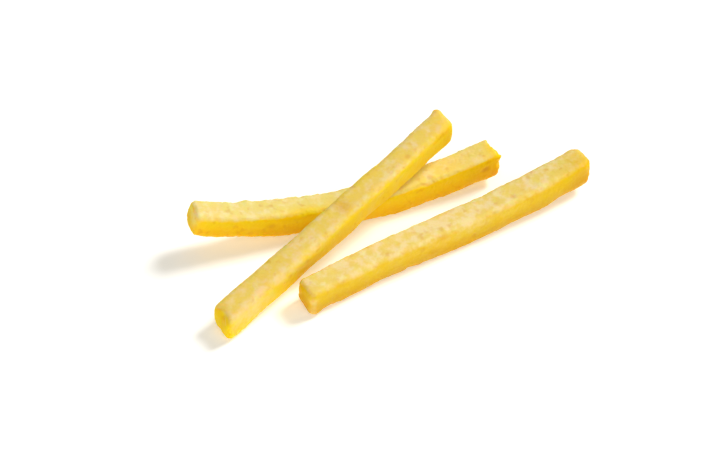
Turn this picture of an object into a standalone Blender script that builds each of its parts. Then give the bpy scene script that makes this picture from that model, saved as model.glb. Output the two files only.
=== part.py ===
"""Three straight-cut potato fries, lying as they fall on a flat surface.

The under fry is curled, so only its middle touches the surface.  The across fry leans over
it, with its near end on the surface.  The beside fry lies flat next to the pair.

Units are metres and +Z is up.  The surface is z = 0, and the origin is on it, under the
middle of the group.  Each fry is lofted along a curved centre line: a rounded square
section, cut at both ends, with shallow hollows in its faces, and pressed flat where it rests.
"""
import math
from dataclasses import dataclass

import bmesh
import bpy
from mathutils import Vector, noise
from mathutils.bvhtree import BVHTree

MM = 0.001

# Driving dimensions.
CUT = 7.0 * MM                # side of the square grid of blades that cuts the potato
CLEARANCE = 0.3 * MM          # air left between one fry and the next
CORNER_RADIUS = 0.21 * CUT    # long edges, softened by frying
RADIUS_CHANGE = 0.6           # share by which that radius comes and goes along an edge
EDGE_VARIETY = 3.7            # step in the noise from one long edge to the next
LARGEST_RADIUS = 0.49         # share of the section that an edge's radius can reach
FACE_HOLLOW = 0.022 * CUT     # how far the middle of each long face has sunk
UNEVENNESS = 0.034 * CUT      # height of the slow waves along the faces
WAVE_LENGTH = 1.1 * CUT       # length of those waves
PRESS = 0.02 * CUT            # how far the underside is flattened where it rests
SLANT_REACH = 1.6 * CUT       # length over which a slanted cut fades into the fry
CURVE_STEPS = 240             # short steps that trace a centre line

# Mesh resolution.
BODY_RINGS = 34
ROUNDING_RINGS = 4
CAP_RINGS = (0.66, 0.33)
ARC_STEPS = 4
SIDE_STEPS = 3


@dataclass
class End:
    """How one end of a fry is cut or broken off."""
    rounding: float = 0.12 * CUT     # softening of the rim, across the fry
    draw: float = 0.12 * CUT         # length of that softening, along the fry
    slant_up: float = 0.0            # degrees by which the top stands further out
    slant_left: float = 0.0          # degrees by which the left side stands further out
    taper: float = 0.0               # share of the section lost towards the end
    lobes: tuple = ()                # tongues and nicks of a torn rim: see torn_offset


@dataclass
class Fry:
    """One fry.  Angles are in degrees; near and far are the two ends of its heading."""
    name: str
    middle: tuple                    # plan position of the middle of its length
    heading: float                   # direction in plan, from +X towards +Y
    length: float
    width: float
    height: float
    width_gain: float = 0.0          # far end's width over the middle's
    height_gain: float = 0.0         # far end's height over the middle's
    plan_bend: float = 0.0           # turn in plan from the near end to the far end
    plan_hook: float = 0.0           # turn that both ends share
    climb: float = 0.0               # slope at the middle
    curl: float = 0.0                # change of slope from the near end to the far end
    curl_hook: float = 0.0           # slope that both ends share
    roll: float = 0.0                # turn about its own length
    near: End = None
    far: End = None
    seed: float = 0.0


# The torn end: angle round the section in degrees (0 is left, 90 is up), half-width of the
# tongue or nick in degrees, and how far it stands out.
TORN_RIM = (
    (92, 24, 0.2 * MM),
    (148, 16, 0.7 * MM),
    (194, 16, 0.6 * MM),
    (232, 20, -0.5 * MM),
    (20, 20, -0.5 * MM),
    (310, 24, 0.5 * MM),
)

FRIES = [
    Fry(
        name="fry_under",
        middle=(-1.4 * MM, 5.9 * MM),
        heading=19.5,
        length=75.9 * MM,
        width=0.98 * CUT,
        height=1.035 * CUT,
        width_gain=-0.1 * MM,
        height_gain=0.7 * MM,
        plan_bend=13.5,
        plan_hook=-1.5,
        climb=-3.0,
        curl=28.6,
        curl_hook=-1.0,
        roll=-1.0,
        near=End(rounding=1.3 * MM, draw=1.0 * MM, slant_up=1.0, slant_left=5.0),
        far=End(rounding=0.9 * MM, draw=0.8 * MM, slant_up=2.0, slant_left=3.0, lobes=TORN_RIM),
        seed=3.0,
    ),
    Fry(
        name="fry_across",
        middle=(-3.8 * MM, -4.4 * MM),
        heading=45.0,
        length=74.6 * MM,
        width=0.945 * CUT,
        height=1.065 * CUT,
        width_gain=-0.3 * MM,
        height_gain=0.4 * MM,
        plan_bend=2.0,
        plan_hook=2.0,
        curl=-0.5,
        curl_hook=-2.5,
        roll=5.5,
        near=End(rounding=1.4 * MM, draw=1.2 * MM, slant_left=-12.0),
        far=End(rounding=1.5 * MM, draw=1.5 * MM, slant_up=3.0, slant_left=7.0),
        seed=11.0,
    ),
    Fry(
        name="fry_beside",
        middle=(21.8 * MM, -2.25 * MM),
        heading=29.7,
        length=77.6 * MM,
        width=1.03 * CUT,
        height=1.105 * CUT,
        width_gain=0.3 * MM,
        height_gain=0.4 * MM,
        plan_bend=-0.5,
        plan_hook=7.0,
        climb=1.0,
        curl=6.5,
        curl_hook=2.0,
        near=End(rounding=1.3 * MM, draw=1.0 * MM, slant_left=-6.0),
        far=End(rounding=2.2 * MM, draw=2.2 * MM, slant_up=11.0, slant_left=-1.0, taper=0.1),
        seed=23.0,
    ),
]

BROWNING = {
    "fry_under": (0.89, 0.62, 0.10, 1.0),
    "fry_across": (0.91, 0.68, 0.16, 1.0),
    "fry_beside": (0.90, 0.66, 0.13, 1.0),
}


def clear_scene():
    """Start from an empty scene."""
    for old in list(bpy.data.objects):
        bpy.data.objects.remove(old, do_unlink=True)


def fried_potato(name, colour):
    """The plain finish of one fry: matt, with a trace of oil."""
    material = bpy.data.materials.new(name)
    material.use_nodes = True
    shader = material.node_tree.nodes["Principled BSDF"]
    shader.inputs["Base Color"].default_value = colour
    shader.inputs["Roughness"].default_value = 0.55
    shader.inputs["Metallic"].default_value = 0.0
    return material


def direction_at(fry, t):
    """Unit direction of the centre line, with t from -1 at the near end to 1 at the far end."""
    heading = math.radians(fry.heading + fry.plan_bend * t / 2 + fry.plan_hook * t * t)
    slope = math.radians(fry.climb + fry.curl * t / 2 + fry.curl_hook * t * t)
    flat = math.cos(slope)
    return Vector((math.cos(heading) * flat, math.sin(heading) * flat, math.sin(slope)))


def centre_line(fry):
    """Points along the centre line, with the middle of its length at the origin."""
    step = fry.length / CURVE_STEPS
    points = [Vector((0.0, 0.0, 0.0))]
    for i in range(CURVE_STEPS):
        t = 2 * (i + 0.5) / CURVE_STEPS - 1
        points.append(points[-1] + direction_at(fry, t) * step)
    middle = points[CURVE_STEPS // 2].copy()
    return [point - middle for point in points]


def point_on(line, along, length):
    """The point at a distance along the centre line, run straight on past its ends."""
    place = along / length * CURVE_STEPS
    i = min(max(int(math.floor(place)), 0), CURVE_STEPS - 1)
    return line[i].lerp(line[i + 1], place - i)


def square_outline(width, height, radii):
    """Points round a rounded rectangle, as (left, up), each with its outward direction."""
    corners = []
    for index, (side, rise) in enumerate(((1, 1), (-1, 1), (-1, -1), (1, -1))):
        radius = min(radii[index], LARGEST_RADIUS * width, LARGEST_RADIUS * height)
        corners.append((side * (width / 2 - radius), rise * (height / 2 - radius), radius, 90 * index))
    outline = []
    for index, (x, y, radius, start) in enumerate(corners):
        for step in range(ARC_STEPS + 1):
            angle = math.radians(start + 90 * step / ARC_STEPS)
            out = (math.cos(angle), math.sin(angle))
            outline.append((x + radius * out[0], y + radius * out[1], out))
        next_x, next_y, next_radius, _ = corners[(index + 1) % 4]
        turn = math.radians(start + 90)
        out = (math.cos(turn), math.sin(turn))
        first = (x + radius * out[0], y + radius * out[1])
        last = (next_x + next_radius * out[0], next_y + next_radius * out[1])
        for step in range(1, SIDE_STEPS):
            share = step / SIDE_STEPS
            px = first[0] + (last[0] - first[0]) * share
            py = first[1] + (last[1] - first[1]) * share
            outline.append((px, py, out))
    return outline


def ring_stations(fry):
    """(distance along, inset from the long faces, scale towards the centre) for every ring."""
    stations = []
    for shrink in reversed(CAP_RINGS):
        stations.append((0.0, fry.near.rounding, shrink))
    rounding_angles = [math.radians(90 * i / ROUNDING_RINGS) for i in range(ROUNDING_RINGS)]
    for angle in rounding_angles:
        along = fry.near.draw * (1 - math.cos(angle))
        stations.append((along, fry.near.rounding * (1 - math.sin(angle)), 1.0))
    first = fry.near.draw
    last = fry.length - fry.far.draw
    for i in range(BODY_RINGS + 1):
        stations.append((first + (last - first) * i / BODY_RINGS, 0.0, 1.0))
    for angle in reversed(rounding_angles):
        along = last + fry.far.draw * math.cos(angle)
        stations.append((along, fry.far.rounding * (1 - math.sin(angle)), 1.0))
    for shrink in CAP_RINGS:
        stations.append((fry.length, fry.far.rounding, shrink))
    return stations


def torn_offset(lobes, left, up, width, height):
    """How far a torn rim stands out: smooth tongues and nicks, fading towards the middle."""
    angle = math.degrees(math.atan2(up / height, left / width)) % 360
    reach = 0.0
    for centre, half_width, out in lobes:
        turn = (angle - centre + 180) % 360 - 180
        reach += out * math.exp(-((turn / half_width) ** 2))
    rim = max(abs(2 * left / width), abs(2 * up / height))
    return reach * min(rim, 1.0)


def cut_offset(end, left, up, width, height):
    """How far outwards a point of an end face stands, from the slant of the cut and its tear."""
    offset = math.tan(math.radians(end.slant_up)) * up
    offset += math.tan(math.radians(end.slant_left)) * left
    return offset + torn_offset(end.lobes, left, up, width, height)


def corner_radii(fry, along, inset):
    """Radius of each of the four long edges at a distance along the fry."""
    radii = []
    for corner in range(4):
        spot = Vector((along / WAVE_LENGTH, fry.seed, EDGE_VARIETY * corner))
        radii.append(CORNER_RADIUS * (1 + RADIUS_CHANGE * noise.noise(spot)) - inset / 2)
    return radii


def slow_waves(fry, along, left, up):
    """Gentle rise and fall of the long faces."""
    spot = Vector((along / WAVE_LENGTH, left / WAVE_LENGTH, up / WAVE_LENGTH))
    spot += Vector((fry.seed, fry.seed * 2, 0.0))
    return UNEVENNESS * noise.noise(spot)


def place_ring(fry, line, along, inset, scale, size_gain):
    """World points of one ring of the loft, before the fry is set down."""
    t = 2 * along / fry.length - 1
    width = fry.width + fry.width_gain * t - 2 * inset
    height = fry.height + fry.height_gain * t - 2 * inset
    forward = direction_at(fry, t)
    left_axis = Vector((-forward.y, forward.x, 0.0)).normalized()
    up_axis = forward.cross(left_axis)
    roll = math.radians(fry.roll)
    near_share = max(0.0, 1 - along / SLANT_REACH) ** 2
    far_share = max(0.0, 1 - (fry.length - along) / SLANT_REACH) ** 2
    scale *= 1 - fry.near.taper * near_share - fry.far.taper * far_share
    ring = []
    for left, up, out in square_outline(width, height, corner_radii(fry, along, inset)):
        flatness = 1 - min(1.0, abs(2 * left / width) * abs(2 * up / height)) ** 2
        grow = slow_waves(fry, along, left, up) - FACE_HOLLOW * flatness + size_gain
        left = (left + out[0] * grow) * scale
        up = (up + out[1] * grow) * scale
        shift = far_share * cut_offset(fry.far, left, up, fry.width, fry.height)
        shift -= near_share * cut_offset(fry.near, left, up, fry.width, fry.height)
        centre = point_on(line, along + shift, fry.length)
        side = left * math.cos(roll) - up * math.sin(roll)
        rise = left * math.sin(roll) + up * math.cos(roll)
        ring.append(centre + left_axis * side + up_axis * rise)
    return ring


def loft(fry, size_gain=0.0):
    """All rings of a fry, and the two points that close its ends."""
    line = centre_line(fry)
    rings = []
    for along, inset, scale in ring_stations(fry):
        rings.append(place_ring(fry, line, along, inset, scale, size_gain))
    near_tip = sum(rings[0], Vector()) / len(rings[0])
    far_tip = sum(rings[-1], Vector()) / len(rings[-1])
    return rings, near_tip, far_tip


def lowest_point(fry):
    """Height of the lowest point of a fry, before it is set down."""
    rings, _, _ = loft(fry)
    return min(point.z for ring in rings for point in ring)


def set_down(fry, rings, tips):
    """Move the fry to its place, lower it onto the surface and press its underside flat."""
    move = Vector((fry.middle[0], fry.middle[1], -lowest_point(fry) - PRESS))
    for point in [point for ring in rings for point in ring] + list(tips):
        point += move
        point.z = max(point.z, 0.0)


def skin(rings, near_tip, far_tip):
    """Closed bmesh through the rings, with faces pointing out."""
    mesh = bmesh.new()
    loops = [[mesh.verts.new(point) for point in ring] for ring in rings]
    count = len(loops[0])
    for one, two in zip(loops, loops[1:]):
        for i in range(count):
            j = (i + 1) % count
            mesh.faces.new((one[i], one[j], two[j], two[i]))
    for loop, tip in ((loops[0], near_tip), (loops[-1], far_tip)):
        centre = mesh.verts.new(tip)
        for i in range(count):
            mesh.faces.new((loop[i], loop[(i + 1) % count], centre))
    bmesh.ops.recalc_face_normals(mesh, faces=mesh.faces)
    bmesh.ops.triangulate(mesh, faces=mesh.faces)
    return mesh


def shape(fry, size_gain=0.0):
    """Bmesh of one fry, in its place on the surface."""
    rings, near_tip, far_tip = loft(fry, size_gain)
    set_down(fry, rings, (near_tip, far_tip))
    return skin(rings, near_tip, far_tip)


def touches(fry, other_tree):
    """Whether a fry, grown by the clearance, meets another one."""
    mesh = shape(fry, CLEARANCE)
    tree = BVHTree.FromBMesh(mesh)
    mesh.free()
    return bool(tree.overlap(other_tree))


def lean_over(fry, under):
    """Tilt a fry until it just clears the one that it lies across."""
    mesh = shape(under)
    under_tree = BVHTree.FromBMesh(mesh)
    mesh.free()
    flat, steep = 0.0, 20.0
    for _ in range(12):
        fry.climb = (flat + steep) / 2
        if touches(fry, under_tree):
            flat = fry.climb
        else:
            steep = fry.climb
    fry.climb = steep


def add_fry(fry):
    """Make the object of one fry, with its own material."""
    mesh = shape(fry)
    data = bpy.data.meshes.new(fry.name)
    mesh.to_mesh(data)
    mesh.free()
    data.shade_smooth()
    data.set_sharp_from_angle(angle=math.radians(40))
    data.materials.append(fried_potato(fry.name + "_crust", BROWNING[fry.name]))
    made = bpy.data.objects.new(fry.name, data)
    bpy.context.scene.collection.objects.link(made)
    return made


def centre_group(fries):
    """Move the fries together so that the origin is under the middle of the group."""
    points = []
    for fry in fries:
        mesh = shape(fry)
        points.extend(vertex.co.copy() for vertex in mesh.verts)
        mesh.free()
    middle_x = (min(point.x for point in points) + max(point.x for point in points)) / 2
    middle_y = (min(point.y for point in points) + max(point.y for point in points)) / 2
    for fry in fries:
        fry.middle = (fry.middle[0] - middle_x, fry.middle[1] - middle_y)


def main():
    clear_scene()
    under, across, beside = FRIES
    lean_over(across, under)
    centre_group(FRIES)
    for fry in FRIES:
        add_fry(fry)


main()
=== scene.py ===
# %% [markdown]
# # Three straight-cut fries
#
# A potato is pushed through a square grid of blades, and the sticks are fried twice.  What
# comes out is a pale, soft inside in a thin golden crust.  This lesson keeps the shape and
# place of each fry from a solid model, gives it a real crust in fine mesh, and then builds
# the colour of that crust from a few small shader groups.

# %% Start: the solid model
import math

import bpy
import numpy as np
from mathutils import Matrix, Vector, noise


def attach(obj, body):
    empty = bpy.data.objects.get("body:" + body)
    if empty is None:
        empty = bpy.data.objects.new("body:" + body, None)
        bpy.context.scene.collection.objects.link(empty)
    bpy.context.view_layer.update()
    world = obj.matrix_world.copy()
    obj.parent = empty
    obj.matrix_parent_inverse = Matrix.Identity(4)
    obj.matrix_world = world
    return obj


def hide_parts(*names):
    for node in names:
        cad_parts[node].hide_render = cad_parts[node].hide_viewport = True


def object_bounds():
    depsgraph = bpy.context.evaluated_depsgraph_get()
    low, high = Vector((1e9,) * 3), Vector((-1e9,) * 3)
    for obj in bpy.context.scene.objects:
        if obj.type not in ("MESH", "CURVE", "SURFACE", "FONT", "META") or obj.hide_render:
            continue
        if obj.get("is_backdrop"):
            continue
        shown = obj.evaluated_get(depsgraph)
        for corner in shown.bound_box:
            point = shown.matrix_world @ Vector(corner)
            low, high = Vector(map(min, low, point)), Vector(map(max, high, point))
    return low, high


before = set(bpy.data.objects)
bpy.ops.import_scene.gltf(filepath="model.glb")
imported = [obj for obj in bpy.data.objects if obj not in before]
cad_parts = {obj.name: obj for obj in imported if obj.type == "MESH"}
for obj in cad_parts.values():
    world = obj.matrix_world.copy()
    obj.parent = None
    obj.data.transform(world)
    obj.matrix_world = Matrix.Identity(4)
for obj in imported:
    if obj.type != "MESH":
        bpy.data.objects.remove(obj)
solid_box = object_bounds()
MM = 0.001
FRIES = ["fry_under", "fry_across", "fry_beside"]
print("solids:", FRIES, "box in mm:", [[round(c / MM, 1) for c in corner] for corner in solid_box])

# %% [markdown]
# ## The camera
#
# A long lens from a little over half a metre keeps the far ends almost as large as the near
# ones.  It looks down at about 47 degrees, so the top and the front of each fry show about
# the same height.  The camera aims a little to the left of the middle of the group, which
# leaves room on the left for the shadows.

# %% Camera
LENS = 122.2                 # focal length, in mm
CAMERA_DISTANCE = 0.559      # from the aim point, in metres
CAMERA_ELEVATION = math.radians(47)
AIM = Vector((-8.79 * MM, 4.42 * MM, 0.0))


def add_camera():
    """A camera in front of the fries, looking along +Y and down at the aim point."""
    camera = bpy.data.objects.new("camera", bpy.data.cameras.new("camera"))
    bpy.context.scene.collection.objects.link(camera)
    back = Vector((0.0, -math.cos(CAMERA_ELEVATION), math.sin(CAMERA_ELEVATION)))
    camera.location = AIM + back * CAMERA_DISTANCE
    camera.rotation_euler = (math.pi / 2 - CAMERA_ELEVATION, 0.0, 0.0)
    camera.data.lens = LENS
    camera.data.clip_start = 0.01
    camera.data.clip_end = 20.0
    bpy.context.scene.camera = camera
    return camera


camera = add_camera()
print("camera at", [round(c, 3) for c in camera.location])

# %% [markdown]
# ## The white sheet
#
# The fries lie on a plain white sheet that is lit until it burns out to white, as food is
# often shown.  It could be a card, but a card leaves the undersides grey.  This one is the top
# of a light table: its own faint warm glow lifts the undersides and keeps the shadows pale.

# %% Sheet
FLOOR_SIZE = 6.0             # metres, wide enough to fill the view from every side
SHEET_GLOW = 0.275
SHEET_GLOW_COLOUR = (1.0, 0.95, 0.76, 1.0)
SHEET_WHITE = 0.97


def plain_white():
    """Matt white for the sheet under the fries."""
    material = bpy.data.materials.new("white_sheet")
    material.use_nodes = True
    shader = material.node_tree.nodes["Principled BSDF"]
    shader.inputs["Base Color"].default_value = (SHEET_WHITE, SHEET_WHITE, SHEET_WHITE, 1.0)
    shader.inputs["Roughness"].default_value = 0.9
    shader.inputs["Specular IOR Level"].default_value = 0.0
    shader.inputs["Emission Color"].default_value = SHEET_GLOW_COLOUR
    shader.inputs["Emission Strength"].default_value = SHEET_GLOW
    return material


def add_floor():
    """A wide flat sheet at z = 0."""
    half = FLOOR_SIZE / 2
    mesh = bpy.data.meshes.new("floor")
    corners = [(-half, -half, 0), (half, -half, 0), (half, half, 0), (-half, half, 0)]
    mesh.from_pydata(corners, [], [(0, 1, 2, 3)])
    mesh.materials.append(plain_white())
    floor = bpy.data.objects.new("floor", mesh)
    bpy.context.scene.collection.objects.link(floor)
    floor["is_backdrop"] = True
    return floor


floor = add_floor()
print("sheet:", [round(side, 1) for side in floor.dimensions], "m, glow", SHEET_GLOW)

# %% [markdown]
# ## Light
#
# Four soft lights stand far away, so that each one falls evenly on all three fries.  Area
# lamps nearby would do it too, but they would light the near fry more than the far ones.  The
# key stands to the right and a little behind, and throws the shadows to the left.  Low wide
# ones in front and on the left keep the fronts and the shadows open, and one overhead fills in.

# %% Lights
LIGHTS = {                   # direction in plan, height above the sheet, width, strength
    "key": (33, 44.5, 20, 2.5),
    "front_fill": (-80, 19, 90, 1.97),
    "left_fill": (187, 17, 90, 0.75),
    "overhead": (90, 75, 60, 0.36),
}


def add_soft_light(name, direction, height, width, strength):
    """A wide light from far away; its direction, height and width are in degrees."""
    light = bpy.data.lights.new(name, "SUN")
    light.energy = strength
    light.angle = math.radians(width)
    lamp = bpy.data.objects.new(name, light)
    turn, rise = math.radians(direction), math.radians(height)
    towards = Vector((math.cos(turn) * math.cos(rise), math.sin(turn) * math.cos(rise), math.sin(rise)))
    lamp.rotation_euler = towards.to_track_quat("Z", "Y").to_euler()
    bpy.context.scene.collection.objects.link(lamp)


def add_dark_surround():
    """A black surround, so that the crust mirrors nothing white at its edges."""
    world = bpy.data.worlds.new("surround")
    world.use_nodes = True
    world.node_tree.nodes["Background"].inputs["Color"].default_value = (0.0, 0.0, 0.0, 1.0)
    bpy.context.scene.world = world


for name, setting in LIGHTS.items():
    add_soft_light(name, *setting)
add_dark_surround()
bpy.context.scene.view_settings.view_transform = "Standard"
for name, (direction, height, width, strength) in LIGHTS.items():
    print(name, "light from", direction, "degrees,", height, "degrees high, strength", strength)

# %% [markdown]
# ## Working on a mesh
#
# Blender's modifiers only show a changed shape.  The next steps have to measure that shape, so
# one helper turns it into the piece's own mesh.  Two more hand a mesh's points and normals to
# numpy, which works on a hundred thousand of them at once and much faster than a loop.

# %% Mesh helpers


def apply_modifiers(piece):
    """Turn what the modifiers show into the piece's own mesh."""
    depsgraph = bpy.context.evaluated_depsgraph_get()
    depsgraph.update()
    shown = piece.evaluated_get(depsgraph)
    mesh = bpy.data.meshes.new_from_object(shown, preserve_all_data_layers=True, depsgraph=depsgraph)
    old = piece.data
    piece.modifiers.clear()
    piece.data = mesh
    bpy.data.meshes.remove(old)


def read_points(mesh):
    """All points of a mesh, one row each."""
    points = np.empty(len(mesh.vertices) * 3)
    mesh.vertices.foreach_get("co", points)
    return points.reshape(-1, 3)


def read_normals(mesh):
    """The direction in which the surface faces at each point."""
    normals = np.empty(len(mesh.vertices) * 3)
    mesh.vertices.foreach_get("normal", normals)
    return normals.reshape(-1, 3)


for node in FRIES:
    print(node, "solid has", len(read_points(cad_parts[node].data)), "points")

# %% [markdown]
# ## Finding a way round each fry
#
# The crust is different along the edges and near the ends, so every point has to know where
# on its fry it lies.  A fry is nearly straight: one long direction, and a smooth curve that
# says how far the middle of the stick has drifted sideways and upwards from it.  A cubic
# fitted through the solid's own points gives that curve, and from it come three numbers for
# any point: how far along it is, how far across, and how far up.

# %% Way round a fry
CURVE_ORDER = 3
STRAIGHT_UP = np.array([0.0, 0.0, 1.0])


class Stick:
    """The long direction and curved middle line of one solid fry."""

    def __init__(self, node):
        points = read_points(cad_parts[node].data)
        self.middle = (points.min(axis=0) + points.max(axis=0)) / 2
        plan = (points - self.middle)[:, :2]
        _, _, directions = np.linalg.svd(plan - plan.mean(axis=0), full_matrices=False)
        forward = directions[0] * np.sign(directions[0][0])
        self.forward = np.array([forward[0], forward[1], 0.0])
        self.left = np.array([-forward[1], forward[0], 0.0])
        run = (points - self.middle) @ self.forward
        self.first, self.last = run.min(), run.max()
        self.side_curve = np.polyfit(run, (points - self.middle) @ self.left, CURVE_ORDER)
        self.rise_curve = np.polyfit(run, points[:, 2], CURVE_ORDER)
        self.length = self.last - self.first

    def locate(self, points):
        """How far points are along, across and up from the middle line, and the axes there."""
        run = (points - self.middle) @ self.forward
        side = (points - self.middle) @ self.left - np.polyval(self.side_curve, run)
        rise = points[:, 2] - np.polyval(self.rise_curve, run)
        turn = np.polyval(np.polyder(self.side_curve), run)
        slope = np.polyval(np.polyder(self.rise_curve), run)
        tangent = self.forward + turn[:, None] * self.left + slope[:, None] * STRAIGHT_UP
        tangent /= np.linalg.norm(tangent, axis=1)[:, None]
        leftward = np.cross(STRAIGHT_UP, tangent)
        leftward /= np.linalg.norm(leftward, axis=1)[:, None]
        upward = np.cross(tangent, leftward)
        across = side * (leftward @ self.left)
        up = rise * upward[:, 2]
        return run - self.first, across, up, (tangent, leftward, upward)


sticks = {node: Stick(node) for node in FRIES}
for node, stick in sticks.items():
    print(node, "length", round(stick.length / MM, 1), "mm")

# %% [markdown]
# ## A fine skin
#
# The solid has facets two millimetres long.  The crust needs a mesh with a point every fifth
# of a millimetre, evenly spread over faces, edges and ends.  The Remesh modifier in voxel
# mode gives exactly that: it rebuilds any closed shape from small cubes.  Rounds of the
# Smooth modifier then take the steps of the cubes away and wear the edges down.  The lowest
# fry kept its edges sharp, and the other two are worn rounder.

# %% Fine skin
VOXEL = 0.19 * MM
WEAR = {"fry_under": 45, "fry_across": 110, "fry_beside": 110}     # rounds of smoothing


def fine_skin(node):
    """A new object with the solid's shape, in small even faces."""
    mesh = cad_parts[node].data.copy()
    mesh.name = node + "_skin"
    mesh.materials.clear()
    skin = bpy.data.objects.new(node + "_crust", mesh)
    bpy.context.scene.collection.objects.link(skin)
    remesh = skin.modifiers.new("voxels", "REMESH")
    remesh.mode = "VOXEL"
    remesh.voxel_size = VOXEL
    remesh.use_smooth_shade = True
    smooth = skin.modifiers.new("smooth", "SMOOTH")
    smooth.factor = 0.5
    smooth.iterations = WEAR[node]
    apply_modifiers(skin)
    return skin


crusts = {node: fine_skin(node) for node in FRIES}
for node, crust in crusts.items():
    print(crust.name, len(crust.data.polygons), "faces")

# %% [markdown]
# ## Where the crust knows it is
#
# Each point keeps a few numbers, as named attributes of the mesh: how near it is to a sharp
# edge of the cut, how near it is to an end, how far it faces upwards, how near it is to the
# crown, the middle line of the upper side, and how low it lies on the side of its fry.
# Relief and colour both read them, so a crumbled edge is also a toasted edge.

# %% Edges, ends, crown and foot
EDGE_STARTS = 0.985          # how squarely a face still counts as flat
EDGE_FULL = 0.78
END_REACH = 5.0 * MM


def store(mesh, name, values):
    """Keep one number per point under a name that relief and colour can read."""
    attribute = mesh.attributes.new(name, "FLOAT", "POINT")
    attribute.data.foreach_set("value", values.astype(np.float32))


def mark_places(crust, stick):
    """Attributes edge, end, upper, crown and foot, each from 0 to 1."""
    points, normals = read_points(crust.data), read_normals(crust.data)
    along, across, up, axes = stick.locate(points)
    squareness = np.max([np.abs(np.sum(normals * axis, axis=1)) for axis in axes], axis=0)
    edge = np.clip((EDGE_STARTS - squareness) / (EDGE_STARTS - EDGE_FULL), 0, 1)
    from_end = np.minimum(along, stick.length - along)
    end = np.clip(1 - from_end / END_REACH, 0, 1)
    upper = np.clip(np.sum(normals * axes[2], axis=1), 0, 1)
    crown = upper * np.clip(1 - 2 * np.abs(across) / (across.max() - across.min()), 0, 1)
    foot = np.clip(0.5 - up / (up.max() - up.min()), 0, 1)
    store(crust.data, "edge", edge)
    store(crust.data, "end", end)
    store(crust.data, "upper", upper)
    store(crust.data, "crown", crown)
    store(crust.data, "foot", foot)
    return edge


for node in FRIES:
    edge = mark_places(crusts[node], sticks[node])
    print(node, "points on an edge:", int((edge > 0.5).sum()), "of", len(edge))

# %% [markdown]
# ## Wiring nodes
#
# Relief and colour are both worked out by nodes.  Added and linked one by one they would take
# hundreds of lines, so a few helpers do it: one adds a node with its settings, one does sums
# on two sockets or numbers, and one makes a smooth step between two levels.

# %% Node helpers


def add_node(tree, kind, **settings):
    """A node with its settings, and its plain input values given as a dict called values."""
    values = settings.pop("values", {})
    node = tree.nodes.new(kind)
    for name, value in settings.items():
        setattr(node, name, value)
    for name, value in values.items():
        node.inputs[name].default_value = value
    return node


def combine(tree, first, second, operation="ADD", clamp=False):
    """A Math node on two sockets or numbers: their sum, unless another operation is named."""
    node = tree.nodes.new("ShaderNodeMath")
    node.operation = operation
    node.use_clamp = clamp
    for socket, given in zip(node.inputs, (first, second)):
        if isinstance(given, (int, float)):
            socket.default_value = given
        else:
            tree.links.new(given, socket)
    return node.outputs[0]


def ramp(tree, value, low, high, out_low=0.0, out_high=1.0):
    """A smooth step from one level to another."""
    node = tree.nodes.new("ShaderNodeMapRange")
    node.interpolation_type = "SMOOTHSTEP"
    tree.links.new(value, node.inputs["Value"])
    node.inputs["From Min"].default_value = low
    node.inputs["From Max"].default_value = high
    node.inputs["To Min"].default_value = out_low
    node.inputs["To Max"].default_value = out_high
    return node.outputs["Result"]


print("node helpers: add_node, combine, ramp")

# %% [markdown]
# Two textures are enough for a crust.  Noise gives soft lumps, and cells give round grains and
# pits.  Their sizes are given in metres, like everything else here, and not as a scale.

# %% Texture helpers
CELL_SOFTNESS = 0.6          # how much neighbouring grains melt together


def noise_of(tree, place, size, detail, roughness=0.55):
    """Soft noise with lumps of a given size, in metres, as a value near 0.5."""
    node = add_node(tree, "ShaderNodeTexNoise", values={"Detail": detail, "Roughness": roughness})
    tree.links.new(place, node.inputs["Vector"])
    tree.links.new(combine(tree, 1.0, size, "DIVIDE"), node.inputs["Scale"])
    return node.outputs["Fac"]


def cells_of(tree, place, size, smooth):
    """Scattered cells of a given size: how far their middles are, and a random colour for each."""
    feature = "SMOOTH_F1" if smooth else "F1"
    node = add_node(tree, "ShaderNodeTexVoronoi", feature=feature)
    if smooth:
        node.inputs["Smoothness"].default_value = CELL_SOFTNESS
    tree.links.new(place, node.inputs["Vector"])
    tree.links.new(combine(tree, 1.0, size, "DIVIDE"), node.inputs["Scale"])
    return node


def named(tree, name):
    """Read in Geometry Nodes one of the numbers kept on the points."""
    node = add_node(tree, "GeometryNodeInputNamedAttribute", data_type="FLOAT", values={"Name": name})
    return node.outputs["Attribute"]


def keep(tree, geometry, name, value):
    """Keep a number on the points, for the colours."""
    node = add_node(tree, "GeometryNodeStoreNamedAttribute", data_type="FLOAT", domain="POINT",
                    values={"Name": name})
    tree.links.new(geometry, node.inputs["Geometry"])
    tree.links.new(value, node.inputs["Value"])
    return node.outputs["Geometry"]


print("texture helpers: noise_of, cells_of, and named and keep for numbers on the points")

# %% [markdown]
# ## The crust as real relief
#
# Frying dries the outside into a crust of fine grains, with low blisters where steam pushed
# it up, small pits where it burst, and edges that have crumbled a little.  Bump mapping
# would only fake this, and the outline would stay smooth, so the grains are made in the mesh.
# A Geometry Nodes group moves every point along its normal by the sum of those four effects.
# It also keeps the grains and the pits, under the names relief and pit, for the colours.

# %% Crust relief group
CRUST_INPUTS = {
    "Seed": 0.0,
    "Grain Size": 0.55 * MM,
    "Grain Height": 0.05 * MM,
    "Blister Size": 2.2 * MM,
    "Blister Height": 0.09 * MM,
    "Pit Spacing": 4.5 * MM,
    "Pit Depth": 0.15 * MM,
    "Edge Crumble": 0.22 * MM,
}
GRAIN_CONTRAST = 1.6
GRAIN_EDGE = (0.0, 0.75)     # distance from a grain's middle, in cells, at which it falls off
BLISTER_STEP = (0.48, 0.72)  # levels of the noise between which a blister rises
PIT_EDGE = (0.05, 0.24)      # distance from a pit's middle, in cells, at which it closes
PIT_CHANCE = (0.62, 0.7)     # only cells whose random number is higher have a pit
CRUMBLE_SIZE = 2.6           # size of a crumbled spot against a grain
CRUMBLE_STEP = (0.42, 0.7)


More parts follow.
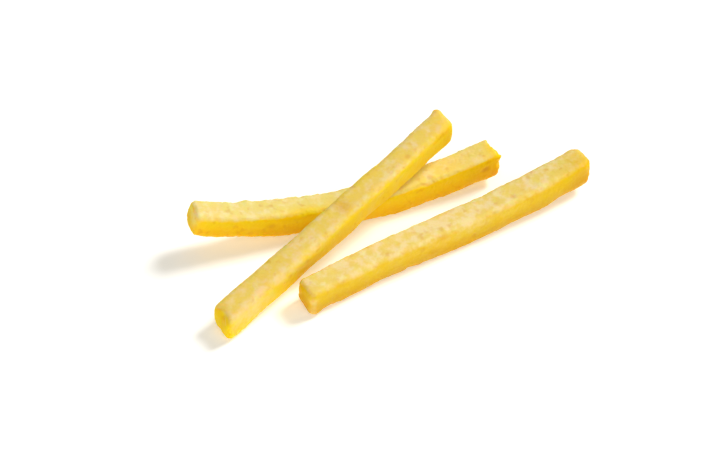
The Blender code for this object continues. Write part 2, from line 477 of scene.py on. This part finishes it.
def build_crust_relief():
    """The Geometry Nodes group that turns a smooth skin into crust."""
    tree = bpy.data.node_groups.new("crust_relief", "GeometryNodeTree")
    tree.interface.new_socket("Geometry", in_out="INPUT", socket_type="NodeSocketGeometry")
    for name, value in CRUST_INPUTS.items():
        socket = tree.interface.new_socket(name, in_out="INPUT", socket_type="NodeSocketFloat")
        socket.default_value = value
    tree.interface.new_socket("Geometry", in_out="OUTPUT", socket_type="NodeSocketGeometry")
    given = tree.nodes.new("NodeGroupInput").outputs

    shift = tree.nodes.new("ShaderNodeVectorMath")
    tree.links.new(tree.nodes.new("GeometryNodeInputPosition").outputs[0], shift.inputs[0])
    tree.links.new(given["Seed"], shift.inputs[1])
    place = shift.outputs[0]

    soft_grain = noise_of(tree, place, given["Grain Size"], detail=3.0, roughness=0.6)
    grain_cells = cells_of(tree, place, given["Grain Size"], smooth=True)
    crumbs = ramp(tree, grain_cells.outputs["Distance"], *GRAIN_EDGE, out_low=1.0, out_high=0.0)
    grain = combine(tree, combine(tree, soft_grain, 0.5, "SUBTRACT"), GRAIN_CONTRAST, "MULTIPLY")
    grain = combine(tree, grain, combine(tree, crumbs, 0.5, "SUBTRACT"))

    lumps = noise_of(tree, place, given["Blister Size"], detail=1.5)
    blister = ramp(tree, lumps, *BLISTER_STEP)

    pit_cells = cells_of(tree, place, given["Pit Spacing"], smooth=False)
    burst = ramp(tree, pit_cells.outputs["Distance"], *PIT_EDGE, out_low=1.0, out_high=0.0)
    chance = tree.nodes.new("ShaderNodeSeparateXYZ")
    tree.links.new(pit_cells.outputs["Color"], chance.inputs[0])
    pit = combine(tree, burst, ramp(tree, chance.outputs[0], *PIT_CHANCE), "MULTIPLY")

    edge = named(tree, "edge")
    spot_size = combine(tree, given["Grain Size"], CRUMBLE_SIZE, "MULTIPLY")
    spots = ramp(tree, noise_of(tree, place, spot_size, detail=2.0), *CRUMBLE_STEP)
    crumble = combine(tree, edge, spots, "MULTIPLY")

    height = combine(tree, grain, given["Grain Height"], "MULTIPLY")
    height = combine(tree, height, combine(tree, blister, given["Blister Height"], "MULTIPLY"))
    height = combine(tree, height, combine(tree, pit, given["Pit Depth"], "MULTIPLY"), "SUBTRACT")
    height = combine(tree, height, combine(tree, crumble, given["Edge Crumble"], "MULTIPLY"), "SUBTRACT")

    push = tree.nodes.new("ShaderNodeVectorMath")
    push.operation = "SCALE"
    tree.links.new(tree.nodes.new("GeometryNodeInputNormal").outputs[0], push.inputs[0])
    tree.links.new(height, push.inputs["Scale"])

    geometry = keep(tree, given["Geometry"], "relief", grain)
    geometry = keep(tree, geometry, "pit", pit)
    move = tree.nodes.new("GeometryNodeSetPosition")
    tree.links.new(geometry, move.inputs["Geometry"])
    tree.links.new(push.outputs[0], move.inputs["Offset"])
    tree.links.new(move.outputs[0], tree.nodes.new("NodeGroupOutput").inputs[0])
    return tree


crust_relief = build_crust_relief()
print("relief group with inputs:", list(CRUST_INPUTS))

# %% [markdown]
# ## The relief of each fry
#
# Each fry gets its own values.  The seed shifts the noise, so that no two crusts match, and the
# curled fry, which frizzled longest, has the coarsest grain.  Nothing may sink into the sheet,
# so the lowest points are lifted until a trace of air is left under them.

# %% Relief values
RELIEF = {
    "fry_under": {"Seed": 3.1, "Grain Height": 0.055 * MM, "Blister Height": 0.11 * MM},
    "fry_across": {"Seed": 7.7, "Grain Height": 0.045 * MM, "Blister Height": 0.07 * MM},
    "fry_beside": {"Seed": 12.9, "Grain Height": 0.050 * MM, "Blister Height": 0.09 * MM},
}
SURFACE_GAP = 0.03 * MM      # thickness of air kept over the sheet


def roughen(crust, values):
    """Run the relief group on a fry and keep the result as its mesh."""
    modifier = crust.modifiers.new("crust_relief", "NODES")
    modifier.node_group = crust_relief
    for item in crust_relief.interface.items_tree:
        if item.in_out == "INPUT" and item.name in values:
            modifier[item.identifier] = values[item.name]
    apply_modifiers(crust)
    points = read_points(crust.data)
    points[:, 2] = np.maximum(points[:, 2], SURFACE_GAP)
    crust.data.vertices.foreach_set("co", points.ravel())
    crust.data.shade_smooth()
    crust.data.update()
    return points


for node, values in RELIEF.items():
    print(node, "grain height", round(values["Grain Height"] / MM, 3), "mm")

# %% [markdown]
# ## Marks that noise cannot place
#
# An eye of the potato, nicks, nibbled spots and corners that stand out or were worn away are
# each in one place.  They could be sculpted by hand, but a short list is easier to change.
# Each mark has a place on its fry, and there it pushes the surface in or out and browns it.

# %% Marks
# Share of the length, then across and up from the middle line, radius along the fry and
# round it, push outwards (all in mm) and browning.
MARKS = {
    "fry_under": [
        (0.940, -3.3, 0.6, 1.3, 0.9, -0.06, 0.70),     # eye on the front
        (0.949, -3.3, 2.6, 0.7, 0.6, 0.00, 0.40),      # speck over it
        (0.925, -3.3, 0.8, 4.2, 2.4, 0.05, 0.20),      # warm ring round them
        (0.241, -3.3, 0.4, 1.2, 0.8, -0.05, 0.45),     # darker patch on the front
        (0.000, 3.2, -3.0, 1.2, 1.2, -0.45, 0.00),     # blunt near end: its lower back corner
        (0.000, 3.2, 0.8, 1.2, 1.3, 0.35, 0.00),       # and the edges on both sides of that
        (0.000, 0.6, -3.0, 1.2, 1.3, 0.35, 0.00),
        (0.190, -2.8, -3.0, 11.0, 1.6, 0.22, 0.00),    # full foot of the near half
        # painted shadow: the fry across shades this foot next to the crossing, and the mark browns it
        (0.300, -3.3, -2.2, 6.0, 1.3, 0.00, 0.12),     # browner foot next to the crossing
        (0.153, 3.2, 3.3, 1.6, 1.0, -0.45, 0.00),      # nick in the upper edge
        (0.185, 3.2, 3.3, 1.2, 1.0, 0.30, 0.00),       # and the grain that stands up next to it
        (0.330, 3.2, 3.3, 2.2, 1.0, 0.22, 0.00),       # another on the same edge
    ],
    "fry_across": [
        (0.526, 0.0, 3.5, 1.6, 2.2, -0.15, 0.40),      # smooth golden patch on the crown
        (0.560, 3.2, 3.5, 1.8, 1.0, 0.30, 0.00),       # shoulder on the left edge
        (0.930, -3.2, 2.4, 2.4, 0.7, -0.05, 0.55),     # streak near the far end
        (0.975, -3.0, 0.0, 3.2, 2.6, 0.15, 0.20),      # full golden front of the far end
        (1.000, -1.5, 2.8, 1.5, 2.0, -0.35, 0.00),     # its rounded upper corner
        (0.030, -3.2, -2.4, 6.0, 2.6, 0.18, 0.00),     # broad foot of the near end
        (0.000, 0.6, -0.6, 1.4, 3.0, 0.00, 0.22),      # warm cut of the near end
        (0.985, 2.4, 2.8, 1.2, 1.1, 0.60, 0.15),       # standing corner of the far end
    ],
    "fry_beside": [
        (0.343, -3.4, -3.2, 1.0, 0.9, -0.55, 0.00),    # nibbled foot
        (0.422, -3.4, -0.7, 1.8, 0.9, 0.10, 0.45),     # warm spots on the front
        (0.457, -3.3, 2.8, 1.2, 0.8, 0.10, 0.40),
        (0.880, -3.2, -3.4, 3.0, 1.3, -0.70, 0.10),    # underside that lifts before the far end
        (0.955, -3.4, 0.0, 4.5, 3.0, 0.05, 0.45),      # warm front of the far end
        (1.000, -1.5, 1.5, 1.5, 2.4, -0.30, 0.00),     # rounded corner of the far end
        (0.000, 1.0, -1.0, 1.2, 2.6, 0.00, 0.20),      # warm cut of the near end
        (0.002, 3.0, -1.0, 1.2, 2.4, 0.25, 0.35),      # full left side of the near end
        (0.006, -3.0, -2.8, 2.4, 2.2, 0.55, 0.10),     # standing corner of the near end
    ],
}
for node, marks in MARKS.items():
    print(node, "has", len(marks), "marks, deepest", min(mark[5] for mark in marks), "mm")

# %% [markdown]
# ## Starch that was rubbed off
#
# Noise alone would spread the dry starch evenly.  On a real fry it is gone where fries rubbed
# on each other or were cut again, and it lies thicker in sheltered places.  This list is read
# like the one before, and one helper puts both on a crust.

# %% Starch
# Share of the length, then across and up from the middle line, radius along the fry and
# round it (all in mm) and how much starch lies there more or less than elsewhere.
STARCH = {
    "fry_under": [
        (0.006, -1.0, 2.6, 1.2, 2.2, 0.55),            # wraps over the near rim
        (0.985, -0.8, 3.0, 2.6, 2.8, -0.90),           # bare at the torn end
        # rubbed starch and painted shadow: the painted sheen of the veil is taken off where the fry across
        # shades the edge
        (0.360, -2.8, 3.0, 6.0, 1.9, -0.80),           # bare edge next to the crossing
        (0.780, -1.6, 3.2, 16.0, 2.8, -0.22),          # thinner over the far half
    ],
    "fry_across": [
        (0.090, -3.2, 0.8, 5.5, 2.7, 0.48),            # covers the front of the near end
        (0.000, 0.5, -0.8, 1.3, 3.0, -0.90),           # bare cut of the near end
        (0.985, -1.2, 3.0, 4.0, 2.4, -0.45),           # thinner at the far end
        (0.310, -3.0, 2.6, 9.0, 1.6, 0.35),            # dusted edge before the crossing
        (0.620, 2.0, 3.4, 9.0, 1.6, -0.25),            # bare left edge after the crossing
    ],
    "fry_beside": [
        (0.006, -3.2, 1.2, 0.9, 1.2, 0.45),            # standing edge of the near end
        (0.006, -3.2, -1.2, 0.9, 1.2, 0.30),
        (0.000, 1.5, -0.5, 1.3, 2.4, -0.50),           # bare cut of the near end
        (0.975, -1.6, 3.0, 6.0, 2.8, -0.65),           # bare far end
        (0.560, -3.0, 2.4, 6.0, 1.6, 0.30),            # dusted edge in the middle
        (0.450, 0.5, 3.5, 15.0, 3.2, 0.40),            # thick over the middle
    ],
}


def closeness(places, share, side, rise, reach, spread):
    """1 at a place on a fry, falling softly to 0 along it (reach) and round it (spread)."""
    along, across, up, length = places
    far = ((along - share * length) / (reach * MM)) ** 2
    far += ((across - side * MM) ** 2 + (up - rise * MM) ** 2) / (spread * MM) ** 2
    return np.exp(-far)


def add_marks(crust, stick, marks, starch):
    """Where the points go when the marks push them; browning and starch are kept on the crust."""
    points, normals = read_points(crust.data), read_normals(crust.data)
    along, across, up, _ = stick.locate(points)
    places = (along, across, up, stick.length)
    push, browned, dusted = np.zeros((3, len(points)))
    for *place, out, brown in marks:
        strength = closeness(places, *place)
        push += out * MM * strength
        browned = np.maximum(browned, brown * strength)
    for *place, more in starch:
        dusted += more * closeness(places, *place)
    store(crust.data, "browned", browned)
    store(crust.data, "dusted", dusted)
    return points + push[:, None] * normals


for node, places in STARCH.items():
    print(node, "has", len(places), "places with more or less starch")

# %% [markdown]
# ## Cut and torn ends
#
# A blade leaves an end square, but one of these was cut at a slant and one was torn.  A torn
# end has lobes that stick out or lie deeper, with short fibres over them.  Points near the
# end are moved along the fry, most at the very end, so the sides stay as they are.

# %% Shaped ends
FIBRE = 1.0 * MM             # thickness of the fibres of a torn end
# Which end, how far in the shape reaches as a share of the length, how ragged the fibres are,
# and the lobes: across and up from the middle line, spread, and how far each one sticks out
# (all in mm).
END_SHAPES = {
    "fry_under": ("far", 0.06, 0.5, [
        (3.4, 3.4, 0.6, 0.7),          # sharp upper corner at the back
        (1.2, 3.0, 2.2, -1.7),         # the top is torn back next to it
        (-2.9, 2.2, 1.1, 0.7),         # tip on the front
        (-3.0, 0.2, 0.8, -0.9),        # notch under the tip
        (-2.8, -2.2, 1.2, -0.5),       # lower lobe
    ]),
    "fry_across": ("near", 0.07, 0.15, [
        (0.5, 3.4, 3.0, -1.9),         # the slant: the top is cut back
        (-3.0, -1.5, 2.2, 0.1),        # lower right corner
        (3.0, 1.0, 2.0, 0.5),          # left edge
    ]),
}


def shape_end(points, stick, which, reach, ragged, lobes):
    """Where the points of an end go when its lobes and fibres push them out or in."""
    along, across, up, (tangents, _, _) = stick.locate(points)
    share, outwards = along / stick.length, 1
    if which == "near":
        share, outwards = 1 - share, -1
    share = np.clip((share - 1 + reach) / reach, 0, 1)
    push = np.zeros(len(points))
    for index in np.flatnonzero(share):
        place = Vector((across[index], up[index], 0.0)) / FIBRE
        push[index] = noise.noise(place) * ragged * MM
    for side, rise, spread, out in lobes:
        far = ((across - side * MM) ** 2 + (up - rise * MM) ** 2) / (spread * MM) ** 2
        push += out * MM * np.exp(-far)
    return points + outwards * (share ** 2 * push)[:, None] * tangents


for node, (which, *_, lobes) in END_SHAPES.items():
    print(node, which, "end has", len(lobes), "lobes")

# %% [markdown]
# ## Shape each crust
#
# The order matters.  Marks and ends move the smooth skin first, and the grain comes last, so
# that it lies over them at its full height.

# %% Shape the crusts
for node in FRIES:
    crust, stick = crusts[node], sticks[node]
    points = add_marks(crust, stick, MARKS[node], STARCH[node])
    if node in END_SHAPES:
        points = shape_end(points, stick, *END_SHAPES[node])
    crust.data.vertices.foreach_set("co", points.ravel())
    crust.data.update()
    points = roughen(crust, RELIEF[node])
    size = (points.max(axis=0) - points.min(axis=0)) / MM
    print(node, "crust measures", [round(float(s), 1) for s in size], "mm")

# %% [markdown]
# ## Colour of fried potato
#
# Three things colour a fry.  The crust itself is a strong golden yellow, and painted shade makes
# it deeper in its hollows and towards its foot.  Dry starch lies over it as a pale veil with paler
# blooms in it, most of all on the upper side, where the oil has drained away; there the veil is
# also painted sheen, the paleness of the tops where the light falls on them.  Rims of the ends and
# burst pits are toasted a little.  Each effect is a shader group with its own sockets, so
# that the three materials share them and differ only in their values.

# %% Shader helpers
MIX_AMOUNT, MIX_FIRST, MIX_SECOND, MIX_RESULT = 0, 6, 7, 2     # a Mix node's sockets for colours


def shader_group(name, inputs, outputs):
    """An empty shader group with named sockets, given as (name, kind, start value)."""
    tree = bpy.data.node_groups.new(name, "ShaderNodeTree")
    for socket_name, kind, start in inputs:
        socket = tree.interface.new_socket(socket_name, in_out="INPUT", socket_type="NodeSocket" + kind)
        if start is not None:
            socket.default_value = start
    for socket_name, kind in outputs:
        tree.interface.new_socket(socket_name, in_out="OUTPUT", socket_type="NodeSocket" + kind)
    return tree, tree.nodes.new("NodeGroupInput").outputs, tree.nodes.new("NodeGroupOutput").inputs


def point_value(tree, name):
    """Read in a shader one of the numbers kept on the points."""
    return add_node(tree, "ShaderNodeAttribute", attribute_name=name).outputs["Fac"]


def blend_colours(tree, amount, first, second):
    """The first colour, covered by the second as far as the amount says."""
    node = add_node(tree, "ShaderNodeMix", data_type="RGBA")
    tree.links.new(amount, node.inputs[MIX_AMOUNT])
    tree.links.new(first, node.inputs[MIX_FIRST])
    tree.links.new(second, node.inputs[MIX_SECOND])
    return node.outputs[MIX_RESULT]


print("shader helpers: shader_group, point_value, blend_colours")

# %% [markdown]
# ** Dry starch and painted sheen.** The veil is dry starch, and on the upper side it is also a
# painted sheen: the paleness of the tops where the light falls on them.  It covers the upper side,
# thickest along the crown, and ends raggedly on the rounded edges, where soft noise moves its
# border in and out.  Blooms are patches of two or three millimetres in which the starch is thick,
# and small noise breaks both into flecks.
# On some fries it has rubbed off the ends.

# %% Shader group: dry starch and painted sheen
BORDER_LUMPS = 2.8 * MM      # size of the lumps that move the border of the veil
# On upward faces the veil is dry starch and also painted sheen of the lit tops.
FACING_STEP = (0.1, 0.85)    # how far a face has to look upwards to be covered
CROWN_STEP = (-0.05, 0.55)   # how near the crown the starch reaches its full thickness
END_STEP = (0.75, 0.97)      # how near an end the starch is rubbed off
FLECK_STEP = (0.3, 0.7)
BLOOM_STEP = (0.4, 0.68)
THICK_BLOOMS = 0.25          # how much more the blooms grow where starch lies thick


def build_starch_and_sheen():
    """The shader group that says how much starch, and on the upper side painted sheen, covers a point, and
    where it is thick.
    """
    tree, given, made = shader_group(
        "starch_and_sheen",
        [("Vector", "Vector", None), ("Bloom Size", "Float", 2.6 * MM), ("Fleck Size", "Float", 0.45 * MM),
         ("Ragged", "Float", 0.5), ("Sides", "Float", 0.1), ("Upper Starch And Sheen", "Float", 1.0),
         ("Crown", "Float", 0.5), ("Ends", "Float", 0.0), ("Flecks", "Float", 0.18)],
        [("Veil", "Float"), ("Bloom", "Float")],
    )
    wander = combine(tree, noise_of(tree, given["Vector"], BORDER_LUMPS, detail=2.0), 0.5, "SUBTRACT")
    wander = combine(tree, wander, given["Ragged"], "MULTIPLY")
    facing = ramp(tree, combine(tree, point_value(tree, "upper"), wander), *FACING_STEP)
    middle = ramp(tree, combine(tree, point_value(tree, "crown"), wander), *CROWN_STEP)
    thin = combine(tree, combine(tree, 1.0, middle, "SUBTRACT"), given["Crown"], "MULTIPLY")
    facing = combine(tree, facing, combine(tree, 1.0, thin, "SUBTRACT"), "MULTIPLY")
    bare = combine(tree, ramp(tree, point_value(tree, "end"), *END_STEP), given["Ends"], "MULTIPLY")
    facing = combine(tree, facing, combine(tree, 1.0, bare, "SUBTRACT"), "MULTIPLY")
    # Painted sheen: the upper side takes more of the pale veil than the sides, as lit tops look paler.
    more = combine(tree, given["Upper Starch And Sheen"], given["Sides"], "SUBTRACT")
    cover = combine(tree, combine(tree, facing, more, "MULTIPLY"), given["Sides"])
    cover = combine(tree, cover, point_value(tree, "dusted"), clamp=True)
    fleck = noise_of(tree, given["Vector"], given["Fleck Size"], detail=2.0, roughness=0.6)
    fleck = ramp(tree, fleck, *FLECK_STEP)
    gaps = combine(tree, combine(tree, 1.0, fleck, "SUBTRACT"), given["Flecks"], "MULTIPLY")
    thickness = combine(tree, 1.0, gaps, "SUBTRACT")
    veil = combine(tree, cover, thickness, "MULTIPLY", clamp=True)
    thick = combine(tree, point_value(tree, "dusted"), THICK_BLOOMS, "MULTIPLY")
    patch = noise_of(tree, given["Vector"], given["Bloom Size"], detail=2.5, roughness=0.6)
    patch = ramp(tree, combine(tree, patch, thick), *BLOOM_STEP)
    tree.links.new(veil, made["Veil"])
    tree.links.new(combine(tree, veil, patch, "MULTIPLY", clamp=True), made["Bloom"])
    return tree


starch_and_sheen = build_starch_and_sheen()
print(starch_and_sheen.name, "with", len(starch_and_sheen.nodes), "nodes")

# %% [markdown]
# **Toasting.**  The thin places brown first: the rims of the ends, the burst pits, and only a
# trace along the long edges.  Noise keeps the browning from drawing a neat line.  Freckles
# are small warm spots where sugar has browned.

# %% Shader group: toasting
PATCH_SIZE = 1.8 * MM        # browned patches along an edge
PATCH_STEP = (0.3, 0.7)
RIM_STEP = (0.35, 0.85)      # how near an end an edge counts as its rim
FRECKLE_SIZE = 2.0 * MM
FRECKLE_STEP = (0.58, 0.76)


def build_toasting():
    """The shader group that says how browned a point is."""
    tree, given, made = shader_group(
        "toasting",
        [("Vector", "Vector", None), ("Edges", "Float", 0.1), ("Rims", "Float", 0.15),
         ("Pits", "Float", 0.3), ("Freckles", "Float", 0.3), ("Marks", "Float", 1.0)],
        [("Mask", "Float")],
    )
    uneven = ramp(tree, noise_of(tree, given["Vector"], PATCH_SIZE, detail=3.0), *PATCH_STEP)
    edge = point_value(tree, "edge")
    rim = combine(tree, edge, ramp(tree, point_value(tree, "end"), *RIM_STEP), "MULTIPLY")
    along_edges = combine(tree, edge, given["Edges"], "MULTIPLY")
    along_rims = combine(tree, rim, given["Rims"], "MULTIPLY")
    browned = combine(tree, combine(tree, along_edges, along_rims, "MAXIMUM"), uneven, "MULTIPLY")
    sugar = ramp(tree, noise_of(tree, given["Vector"], FRECKLE_SIZE, detail=1.5), *FRECKLE_STEP)
    warm = combine(tree, sugar, given["Freckles"], "MULTIPLY")
    pits = combine(tree, point_value(tree, "pit"), given["Pits"], "MULTIPLY")
    marks = combine(tree, point_value(tree, "browned"), given["Marks"], "MULTIPLY")
    thin_places = combine(tree, browned, pits, "MAXIMUM")
    spots = combine(tree, warm, marks, "MAXIMUM")
    tree.links.new(combine(tree, thin_places, spots, "MAXIMUM"), made["Mask"])
    return tree


toasting = build_toasting()
print(toasting.name, "with", len(toasting.nodes), "nodes")

# %% [markdown]
# ** Crust colour.** The masks choose between golden, veil, bloom and toasted. Painted shade turns
# the golden crust to its shade colour in the hollows between the grains and towards the foot of
# the fry.

# %% Shader group: crust colour
COLOUR_SOCKETS = ["Golden", "Shade Color", "Veil Color", "Bloom Color", "Toasted"]
WHITE = (1.0, 1.0, 1.0, 1.0)
# Painted shade: the shade colour comes in at the hollows between the grains and low on each fry.
HOLLOW_SHADE_STEP = (-0.6, 0.5)    # heights of the grain between the hollows and the tops
FOOT_SHADE_STEP = (0.25, 0.9)      # how low on its fry a point turns deeper


def build_crust_colour():
    """The shader group that mixes a fry's five colours by the masks."""
    tree, given, made = shader_group(
        "crust_colour",
        [(name, "Color", WHITE) for name in COLOUR_SOCKETS]
        + [("Veil", "Float", 0.0), ("Bloom", "Float", 0.0), ("Toast", "Float", 0.0),
           ("Hollow Shade", "Float", 0.2), ("Foot Shade", "Float", 0.8)],
        [("Color", "Color")],
    )
    depth = ramp(tree, point_value(tree, "relief"), *HOLLOW_SHADE_STEP, out_low=1.0, out_high=0.0)
    hollow_shade = combine(tree, depth, given["Hollow Shade"], "MULTIPLY")
    low = combine(tree, ramp(tree, point_value(tree, "foot"), *FOOT_SHADE_STEP), given["Foot Shade"], "MULTIPLY")
    painted_shade = combine(tree, hollow_shade, low, clamp=True)
    body = blend_colours(tree, painted_shade, given["Golden"], given["Shade Color"])
    body = blend_colours(tree, given["Veil"], body, given["Veil Color"])
    body = blend_colours(tree, given["Bloom"], body, given["Bloom Color"])
    body = blend_colours(tree, given["Toast"], body, given["Toasted"])
    tree.links.new(body, made["Color"])
    return tree


crust_colour = build_crust_colour()
print(crust_colour.name, "with", len(crust_colour.nodes), "nodes")

# %% [markdown]
# **Oil film and crumb.**  Dry crust is matt, and where oil still lies it is smoother.  The
# crumb is the finest grain of all, too small for the mesh, so it is left to a bump.

# %% Shader groups: oil film and crumb
FILM_SIZE = 3.0 * MM         # patches in which oil is left
FILM_STEP = (0.4, 0.65)


def build_oil_film():
    """The shader group that says how rough the crust is."""
    tree, given, made = shader_group(
        "oil_film",
        [("Vector", "Vector", None), ("Dry", "Float", 0.0), ("Matt", "Float", 0.62), ("Oily", "Float", 0.38)],
        [("Roughness", "Float")],
    )
    film = ramp(tree, noise_of(tree, given["Vector"], FILM_SIZE, detail=2.0), *FILM_STEP)
    wet = combine(tree, film, combine(tree, 1.0, given["Dry"], "SUBTRACT"), "MULTIPLY", clamp=True)
    fall = combine(tree, given["Matt"], given["Oily"], "SUBTRACT")
    smoother = combine(tree, wet, fall, "MULTIPLY")
    tree.links.new(combine(tree, given["Matt"], smoother, "SUBTRACT"), made["Roughness"])
    return tree


def build_crumb():
    """The shader group with the heights of the finest grain."""
    tree, given, made = shader_group(
        "crumb",
        [("Vector", "Vector", None), ("Size", "Float", 0.22 * MM)],
        [("Height", "Float")],
    )
    fine_grain = noise_of(tree, given["Vector"], given["Size"], detail=3.0, roughness=0.6)
    tree.links.new(fine_grain, made["Height"])
    return tree


oil_film = build_oil_film()
crumb = build_crumb()
for group in (oil_film, crumb):
    print(group.name, "with", len(group.nodes), "nodes")

# %% [markdown]
# ## The colours of each fry
#
# The three fries were not fried alike.  The curled one is the strongest yellow with hardly any
# veil on its sides, the one across it is paler and dusty, and the third is duller.  Colours are
# easier to choose as they look on a screen, so a helper turns them into light values.

# %% Crust colours


def colour(red, green, blue):
    """A colour as it looks on a screen, 0 to 255, turned into the light values shaders use."""
    def to_light(value):
        value /= 255
        return value / 12.92 if value <= 0.04045 else ((value + 0.055) / 1.055) ** 2.4
    return (to_light(red), to_light(green), to_light(blue), 1.0)


CRUSTS = {
    "fry_under": {
        "Golden": colour(251, 217, 2), "Shade Color": colour(240, 190, 0), "Veil Color": colour(238, 220, 132),
        "Bloom Color": colour(243, 226, 164), "Toasted": colour(216, 142, 12), "Sides": 0.01, "Crown": 0.1,
    },
    "fry_across": {
        "Golden": colour(242, 209, 6), "Shade Color": colour(250, 207, 6), "Veil Color": colour(236, 208, 102),
        "Bloom Color": colour(240, 216, 154), "Toasted": colour(218, 150, 22), "Sides": 0.07, "Crown": 0.5,
        "Ends": 0.85, "Foot Shade": 0.9,
    },
    "fry_beside": {
        "Golden": colour(232, 196, 4), "Shade Color": colour(213, 160, 2), "Veil Color": colour(237, 213, 114),
        "Bloom Color": colour(243, 223, 164), "Toasted": colour(214, 146, 18), "Sides": 0.04, "Crown": 0.35,
    },
}
for node, values in CRUSTS.items():
    print(node, "golden in light values:", [round(part, 3) for part in values["Golden"][:3]])

# %% [markdown]
# ## One material for each fry
#
# The shader itself stays in the material.  Potato lets light in a little way, and red and
# yellow travel further in it than blue, which is why the edges of a fry glow.

# %% Crust materials
GLOW_DEPTH = 3.0 * MM
GLOW_COLOURS = (1.0, 0.35, 0.08)     # how far red, green and blue travel, as shares of the depth
GLOW = 0.8
CRUMB_HEIGHT = 0.02 * MM


def place_group(tree, group, values, links):
    """A shader group in a material, with its values and its incoming links."""
    node = tree.nodes.new("ShaderNodeGroup")
    node.node_tree = group
    for name, value in values.items():
        if name in node.inputs:
            node.inputs[name].default_value = value
    for name, socket in links.items():
        tree.links.new(socket, node.inputs[name])
    return node


def crust_material(node_name, values):
    """Fried potato, from the shared groups and this fry's own values."""
    material = bpy.data.materials.new(node_name + "_crust")
    material.use_nodes = True
    tree = material.node_tree
    shader = tree.nodes["Principled BSDF"]
    place = tree.nodes.new("ShaderNodeTexCoord").outputs["Object"]
    starch = place_group(tree, starch_and_sheen, values, {"Vector": place}).outputs
    toast = place_group(tree, toasting, values, {"Vector": place}).outputs["Mask"]
    masks = {"Veil": starch["Veil"], "Bloom": starch["Bloom"], "Toast": toast}
    look = place_group(tree, crust_colour, values, masks)
    film = place_group(tree, oil_film, values, {"Vector": place, "Dry": starch["Veil"]})
    grain = place_group(tree, crumb, values, {"Vector": place})
    bump = add_node(tree, "ShaderNodeBump", values={"Strength": 0.6, "Distance": CRUMB_HEIGHT})
    tree.links.new(grain.outputs["Height"], bump.inputs["Height"])
    tree.links.new(look.outputs["Color"], shader.inputs["Base Color"])
    tree.links.new(film.outputs["Roughness"], shader.inputs["Roughness"])
    tree.links.new(bump.outputs["Normal"], shader.inputs["Normal"])
    shader.inputs["Subsurface Weight"].default_value = GLOW
    shader.inputs["Subsurface Radius"].default_value = GLOW_COLOURS
    shader.inputs["Subsurface Scale"].default_value = GLOW_DEPTH
    shader.inputs["IOR"].default_value = 1.45
    shader.inputs["Specular IOR Level"].default_value = 0.18
    return material


for node in FRIES:
    material = crust_material(node, CRUSTS[node])
    crusts[node].data.materials.clear()
    crusts[node].data.materials.append(material)
    print(material.name, "with", len(material.node_tree.nodes), "nodes")

# %% [markdown]
# ## Put each crust in place of its solid
#
# The crusts already lie where the solids are.  Each one rides on the only body and stands for
# its own solid.

# %% Attach the crusts
for node in FRIES:
    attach(crusts[node], "root")
    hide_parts(node)

shown_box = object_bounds()
size_record = {
    "cad": [[float(c) for c in corner] for corner in solid_box],
    "visual": [[float(c) for c in corner] for corner in shown_box],
}
print("solid box and visual box in mm:")
for name, corners in size_record.items():
    print(" ", name, [[round(c / MM, 1) for c in corner] for corner in corners])
